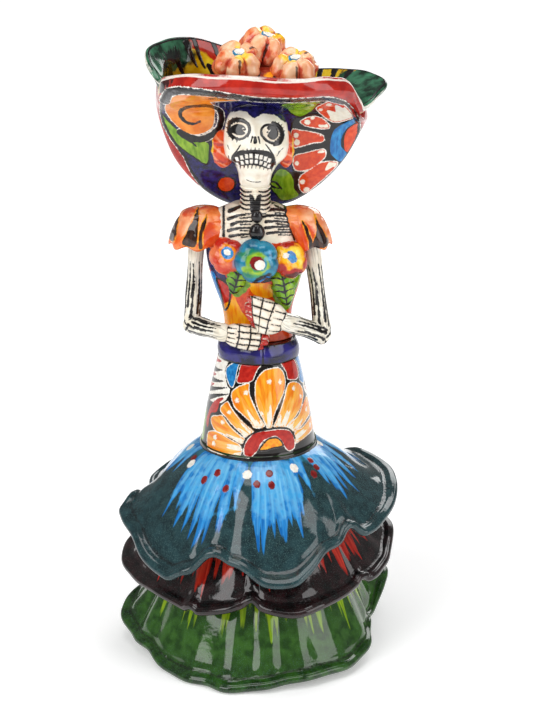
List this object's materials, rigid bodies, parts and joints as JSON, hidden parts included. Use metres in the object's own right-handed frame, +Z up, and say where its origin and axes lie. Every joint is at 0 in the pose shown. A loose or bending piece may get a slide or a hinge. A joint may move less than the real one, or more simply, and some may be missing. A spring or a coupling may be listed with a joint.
{
  "type": "catrina figurine",
  "caption": "Standing skeleton lady in a wide pinched-brim hat and a ruffled three-tier skirt, hand-built glazed clay, hollow under the skirt.",
  "frame": {"origin": "on the table, at the middle of the figure's bounding box", "axes": "+Z up along the figure's height, the figure faces -Y, +X to the viewer's right"},
  "size_m": [0.1714, 0.1721, 0.3834],
  "materials": {
    "skirt_pedestal": "glossy fired glaze over clay",
    "hip_skirt": "glossy fired glaze over clay",
    "waist_sash": "glossy fired glaze over clay",
    "flounce_top": "glossy fired glaze over clay",
    "flounce_middle": "glossy fired glaze over clay",
    "flounce_bottom": "glossy fired glaze over clay",
    "hat_brim": "glossy fired glaze over clay",
    "hat_crown": "glossy fired glaze over clay",
    "torso": "glossy fired glaze over clay",
    "skull": "glossy fired glaze over clay",
    "neck": "glossy fired glaze over clay",
    "ear_blossom_left": "glossy fired glaze over clay",
    "ear_blossom_right": "glossy fired glaze over clay",
    "sleeve_left": "glossy fired glaze over clay",
    "sleeve_right": "glossy fired glaze over clay",
    "hand_left": "glossy fired glaze over clay",
    "hand_right": "glossy fired glaze over clay",
    "forearm_left": "glossy fired glaze over clay",
    "forearm_right": "glossy fired glaze over clay",
    "upper_arm_left": "glossy fired glaze over clay",
    "upper_arm_right": "glossy fired glaze over clay",
    "bust_blossom_left": "glossy fired glaze over clay",
    "bust_blossom_center": "glossy fired glaze over clay",
    "bust_blossom_right": "glossy fired glaze over clay",
    "leaf_left": "glossy fired glaze over clay",
    "leaf_right": "glossy fired glaze over clay",
    "bead_upper": "glossy fired glaze over clay",
    "bead_lower": "glossy fired glaze over clay",
    "hat_blossom_left": "glossy fired glaze over clay",
    "hat_blossom_right": "glossy fired glaze over clay",
    "hat_blossom_top": "glossy fired glaze over clay"
  },
  "bodies": {
    "root": {"skirt_pedestal": "skirt_pedestal", "hip_skirt": "hip_skirt", "waist_sash": "waist_sash", "flounce_top": "flounce_top", "flounce_middle": "flounce_middle", "flounce_bottom": "flounce_bottom", "hat_brim": "hat_brim", "hat_crown": "hat_crown", "torso": "torso", "skull": "skull", "neck": "neck", "ear_blossom_left": "ear_blossom_left", "ear_blossom_right": "ear_blossom_right", "sleeve_left": "sleeve_left", "sleeve_right": "sleeve_right", "hand_left": "hand_left", "hand_right": "hand_right", "forearm_left": "forearm_left", "forearm_right": "forearm_right", "upper_arm_left": "upper_arm_left", "upper_arm_right": "upper_arm_right", "bust_blossom_left": "bust_blossom_left", "bust_blossom_center": "bust_blossom_center", "bust_blossom_right": "bust_blossom_right", "leaf_left": "leaf_left", "leaf_right": "leaf_right", "bead_upper": "bead_upper", "bead_lower": "bead_lower", "hat_blossom_left": "hat_blossom_left", "hat_blossom_right": "hat_blossom_right", "hat_blossom_top": "hat_blossom_top"}
  },
  "joints": []
}
